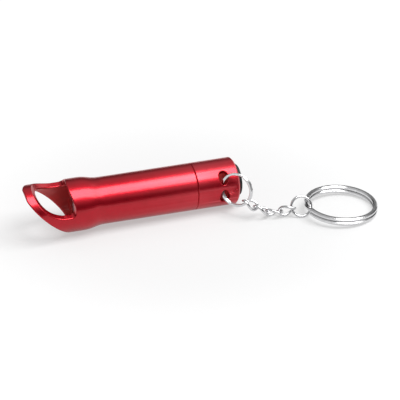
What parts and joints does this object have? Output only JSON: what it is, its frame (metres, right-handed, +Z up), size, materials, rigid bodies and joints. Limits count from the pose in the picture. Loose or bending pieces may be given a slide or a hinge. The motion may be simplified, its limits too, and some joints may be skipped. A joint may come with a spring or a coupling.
{
  "type": "keychain flashlight",
  "caption": "Pocket torch in a red anodised tube with a bottle-opener nose, tail push switch in a screw cap, and a chain with a split ring for keys.",
  "frame": {"origin": "middle of the whole object's footprint, on the surface it lies on", "axes": "+X from the opener nose towards the tail cap and key ring, +Y to the torch's far side from the chain, +Z up"},
  "size_m": [0.1204, 0.041, 0.0186],
  "materials": {
    "red_anodised": "red anodised, fine satin turned finish",
    "clear_window": "clear polished plastic",
    "mirror_coat": "bright vacuum-coated reflector",
    "led_resin": "clear resin dome over yellow phosphor",
    "board_green": "solder-masked circuit board",
    "brass": "plain",
    "white_plastic": "moulded",
    "black_plastic": "moulded",
    "black_rubber": "soft moulded rubber",
    "spring_steel": "drawn wire",
    "cell_steel": "nickel-plated can",
    "ring_nickel": "bright nickel plate"
  },
  "bodies": {
    "torch_body": {"barrel_opener_body": "red_anodised", "front_window": "clear_window", "led_reflector": "mirror_coat", "led_emitter": "led_resin", "light_board": "board_green", "front_contact_stud": "brass", "battery_sleeve": "white_plastic", "battery_cell_1": "cell_steel", "battery_cell_2": "cell_steel", "battery_cell_3": "cell_steel", "battery_cell_4": "cell_steel"},
    "cap_seal": {"cap_o_ring": "black_rubber", "tail_contact_spring": "spring_steel"},
    "tail_cap": {"tail_cap": "red_anodised", "switch_housing": "black_plastic", "switch_contact_plate": "brass", "switch_retaining_ring": "brass", "switch_spring": "spring_steel"},
    "button": {"push_button": "black_rubber", "switch_plunger": "white_plastic"},
    "small_ring": {"small_split_ring": "ring_nickel"},
    "link_1": {"chain_link_1": "ring_nickel"},
    "link_2": {"chain_link_2": "ring_nickel"},
    "link_3": {"chain_link_3": "ring_nickel"},
    "link_4": {"chain_link_4": "ring_nickel"},
    "jump_ring": {"jump_ring": "ring_nickel"},
    "key_ring": {"key_split_ring": "ring_nickel"}
  },
  "joints": [
    {"name": "cap_travel", "type": "slide", "parent": "torch_body", "child": "cap_seal", "axis": [0.9998, 0, -0.0189], "range_m": [0, 0.0046]},
    {"name": "cap_turn", "type": "hinge", "parent": "cap_seal", "child": "tail_cap", "pos_m": [0.00757, 0.01136, 0.0082], "axis": [0.9998, 0, -0.0189], "range_deg": [0, 1620]},
    {"name": "button_press", "type": "slide", "parent": "tail_cap", "child": "button", "axis": [-0.9998, 0, 0.0189], "range_m": [0, 0.0009], "stiffness_N_per_m": 900, "springref_m": -0.001, "deforming": ["switch_spring"]},
    {"name": "small_ring_swing", "type": "hinge", "parent": "tail_cap", "child": "small_ring", "pos_m": [0.00955, 0.00536, 0.00971], "axis": [-0.0183, -0.2504, -0.968], "range_deg": [-6, 20]},
    {"name": "link_1_swing", "type": "hinge", "parent": "small_ring", "child": "link_1", "pos_m": [0.01572, -0.00228, 0.0064], "axis": [0.5405, -0.3773, 0.752], "range_deg": [-25, 25]},
    {"name": "link_2_swing", "type": "hinge", "parent": "link_1", "child": "link_2", "pos_m": [0.01928, -0.00282, 0.00401], "axis": [0.5608, 0.316, 0.7653], "range_deg": [-25, 25]},
    {"name": "link_3_swing", "type": "hinge", "parent": "link_2", "child": "link_3", "pos_m": [0.02318, -0.00365, 0.00182], "axis": [0.4364, 0.7538, 0.4913], "range_deg": [-25, 25]},
    {"name": "link_4_swing", "type": "hinge", "parent": "link_3", "child": "link_4", "pos_m": [0.02751, -0.00501, 0.00215], "axis": [0.2952, 0.9529, 0.0696], "range_deg": [-25, 25]},
    {"name": "jump_ring_swing", "type": "hinge", "parent": "link_4", "child": "jump_ring", "pos_m": [0.0318, -0.00611, 0.00319], "axis": [0.3211, 0.8385, -0.4403], "range_deg": [-25, 25]},
    {"name": "key_ring_swing", "type": "hinge", "parent": "jump_ring", "child": "key_ring", "pos_m": [0.03604, -0.00636, 0.0033], "axis": [0.1357, 0.9907, 0], "range_deg": [-30, 30]}
  ],
  "couplings": [
    {"joint": "cap_travel", "follows": "cap_turn", "m_per_rad": 0.00015915}
  ]
}
